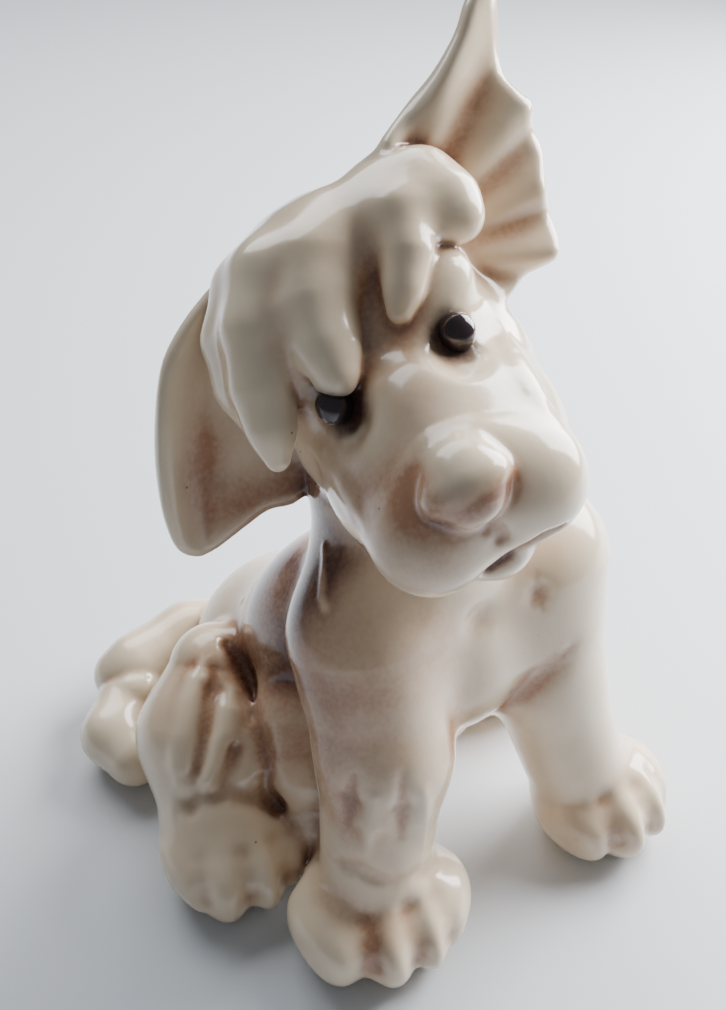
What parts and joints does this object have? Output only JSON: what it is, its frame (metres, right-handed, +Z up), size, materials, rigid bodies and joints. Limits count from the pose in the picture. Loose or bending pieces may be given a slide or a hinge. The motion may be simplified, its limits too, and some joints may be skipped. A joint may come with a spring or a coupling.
{
  "type": "ceramic puppy figurine",
  "caption": "Seated shaggy puppy ornament in glazed cream ceramic, head turned and cocked, one ear raised and the other hanging.",
  "frame": {"origin": "on the table, at the middle of the puppy's footprint", "axes": "+Z up, -Y the way the chest faces, +X the puppy's left"},
  "size_m": [0.1048, 0.1106, 0.1537],
  "materials": {
    "glazed_body": "glossy ivory glaze over brown stain in the hollows",
    "glazed_hair": "glossy ivory glaze, thinly stained",
    "glazed_ear": "glossy ivory glaze, tan stain inside the ear",
    "glazed_nose": "glossy glaze, brown wash underneath",
    "glazed_eye": "glossy dark brown glaze"
  },
  "bodies": {
    "root": {"torso": "glazed_body", "head": "glazed_body", "right_foreleg": "glazed_body", "left_foreleg": "glazed_body", "right_hind_leg": "glazed_body", "left_hind_leg": "glazed_body", "tail": "glazed_body", "crown_hair": "glazed_hair", "side_lock": "glazed_hair", "outer_lock": "glazed_hair", "inner_lock": "glazed_hair", "thin_lock": "glazed_hair", "stub_lock": "glazed_hair", "raised_ear": "glazed_ear", "dropped_ear": "glazed_ear", "nose": "glazed_nose", "right_eye": "glazed_eye", "left_eye": "glazed_eye"}
  },
  "joints": []
}
